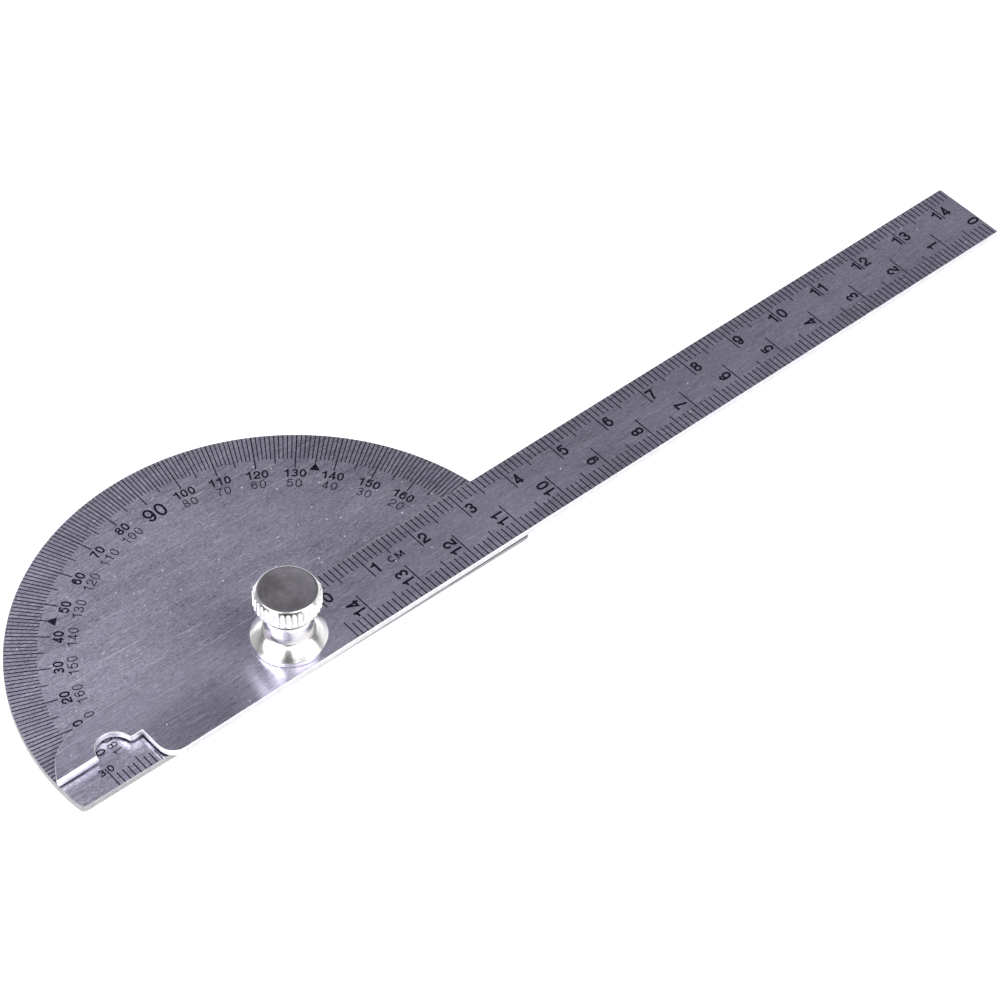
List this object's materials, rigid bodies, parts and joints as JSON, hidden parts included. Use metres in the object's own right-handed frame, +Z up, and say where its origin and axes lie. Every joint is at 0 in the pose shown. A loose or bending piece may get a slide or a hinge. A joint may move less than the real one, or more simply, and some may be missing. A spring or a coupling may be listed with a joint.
{
  "type": "semicircular protractor",
  "caption": "Steel semicircular protractor: a D-shaped degree dial with a swinging steel rule, its reading notch at the tail, clamped at the pivot by a knurled thumb nut.",
  "frame": {"origin": "pivot axis, in the plane of the dial plate's back face", "axes": "+X along the dial's straight base edge towards the rule's tip, +Y towards the top of the degree arc, +Z up through the thumb nut"},
  "size_m": [0.1981, 0.0527, 0.0144],
  "materials": {
    "dial_steel": "brushed along the base edge, dark etched graduations",
    "rule_steel": "brushed along the rule, dark etched graduations",
    "screw_steel": "plain zinc-plated",
    "spring_steel": "dull",
    "washer_nickel": "bright nickel plate",
    "nut_nickel": "bright nickel plate, turned top, knurled rim"
  },
  "bodies": {
    "dial": {"dial_plate": "dial_steel", "shoulder_screw": "screw_steel", "friction_washer": "spring_steel"},
    "arm": {"rule_arm": "rule_steel"},
    "washer": {"flanged_washer": "washer_nickel"},
    "nut": {"thumb_nut": "nut_nickel"}
  },
  "joints": [
    {"name": "arm_swing", "type": "hinge", "parent": "dial", "child": "arm", "pos_m": [0, 0, 0.0022], "axis": [0, 0, 1], "continuous": true},
    {"name": "washer_lift", "type": "slide", "parent": "dial", "child": "washer", "axis": [0, 0, 1], "range_m": [0, 0.0014]},
    {"name": "nut_turn", "type": "hinge", "parent": "washer", "child": "nut", "pos_m": [0, 0, 0.01], "axis": [0, 0, 1], "range_deg": [0, 720]}
  ],
  "couplings": [
    {"joint": "nut_turn", "follows": "washer_lift", "rad_per_m": 8976}
  ]
}
